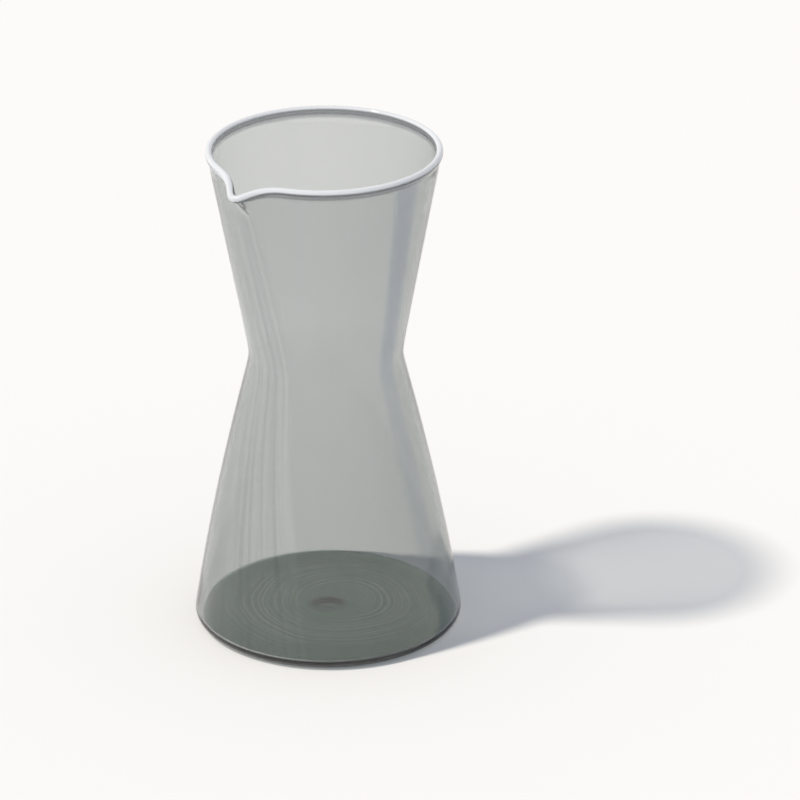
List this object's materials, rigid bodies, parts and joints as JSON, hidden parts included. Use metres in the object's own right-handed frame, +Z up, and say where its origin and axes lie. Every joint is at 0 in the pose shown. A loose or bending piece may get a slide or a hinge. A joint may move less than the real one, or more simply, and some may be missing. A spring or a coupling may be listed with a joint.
{
  "type": "water carafe",
  "caption": "Open hourglass water carafe in thin smoke-grey glass, with a fire-polished rim and a pinched pouring lip.",
  "frame": {"origin": "centre of the standing ring, on the table", "axes": "+Z up along the carafe's own axis, +X towards the pouring lip, +Y completes a right-handed frame; XZ is the mirror plane"},
  "size_m": [0.1176, 0.117, 0.22],
  "materials": {
    "smoke_glass": "clear smoke-grey soda-lime glass, blown, with a fire-polished rim"
  },
  "bodies": {
    "root": {"base": "smoke_glass", "lower_wall": "smoke_glass", "waist": "smoke_glass", "upper_wall": "smoke_glass", "mouth_wall": "smoke_glass", "pouring_lip": "smoke_glass", "rim": "smoke_glass", "lip_rim": "smoke_glass"}
  },
  "joints": []
}
